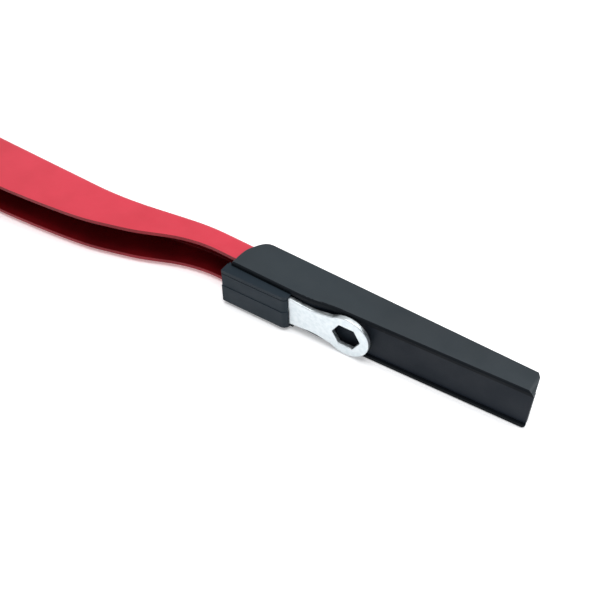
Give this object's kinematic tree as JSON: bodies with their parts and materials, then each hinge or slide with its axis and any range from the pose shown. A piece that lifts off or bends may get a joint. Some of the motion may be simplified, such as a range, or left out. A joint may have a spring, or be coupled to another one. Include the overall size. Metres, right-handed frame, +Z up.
{
  "type": "hand riveter",
  "caption": "Hand riveter with a pressed channel body and lever, moulded grips, a jaw head with a screw-in nosepiece, and a ring spanner stored in the grip.",
  "frame": {"origin": "on the pivot axis, at the flat end of the pivot pin, on the plane that the tool lies on", "axes": "+X along the fixed handle towards its grip end, +Y along the head's axis towards the nosepiece, +Z up along the pivot pin"},
  "size_m": [0.2936, 0.2651, 0.0201],
  "materials": {
    "red_paint": "satin red enamel on pressed steel",
    "black_grip": "fine moulded texture",
    "zinc_plate": "bright zinc, slightly mottled",
    "zinc_head": "satin nickel on turned steel",
    "dark_steel": "oiled black oxide",
    "spring_steel": "drawn wire"
  },
  "bodies": {
    "frame": {"body_channel": "red_paint", "body_grip": "black_grip", "body_grip_panel": "black_grip", "spanner_holder": "black_grip", "pivot_pin": "zinc_plate", "pivot_washer": "zinc_plate", "pivot_circlip": "dark_steel", "head_block": "zinc_head", "head_rivets": "zinc_plate", "head_end_cap": "zinc_head", "mandrel_tube": "zinc_head", "return_spring": "spring_steel"},
    "lever": {"lever_channel": "red_paint", "lever_bush": "zinc_head", "lever_grip": "black_grip", "lever_grip_panel": "black_grip", "nosepiece_spare_1": "zinc_plate", "nosepiece_spare_2": "zinc_plate", "nosepiece_spare_3": "zinc_plate"},
    "jaw_carriage": {"jaw_case": "dark_steel", "case_collar": "dark_steel", "jaw_near": "dark_steel", "jaw_far": "dark_steel", "jaw_pusher": "dark_steel", "spring_seat": "dark_steel"},
    "nosepiece": {"nosepiece": "zinc_plate"},
    "spanner": {"spanner": "zinc_plate"}
  },
  "joints": [
    {"name": "lever_hinge", "type": "hinge", "parent": "frame", "child": "lever", "pos_m": [0, 0, 0.01005], "axis": [0, 0, 1], "range_deg": [0, 45], "stiffness_Nm_per_rad": 0.32, "springref_deg": -22.92, "deforming": ["return_spring"]},
    {"name": "jaw_slide", "type": "slide", "parent": "frame", "child": "jaw_carriage", "axis": [0, -1, 0], "range_m": [0, 0.00996]},
    {"name": "nosepiece_turn", "type": "hinge", "parent": "frame", "child": "nosepiece", "pos_m": [-0.0125, 0.027, 0.01005], "axis": [0, 1, 0], "continuous": true},
    {"name": "spanner_slide", "type": "slide", "parent": "frame", "child": "spanner", "axis": [0.999, 0.0436, 0], "range_m": [0, 0.024]}
  ],
  "couplings": [
    {"joint": "jaw_slide", "follows": "lever_hinge", "m_per_rad": 0.012668}
  ]
}
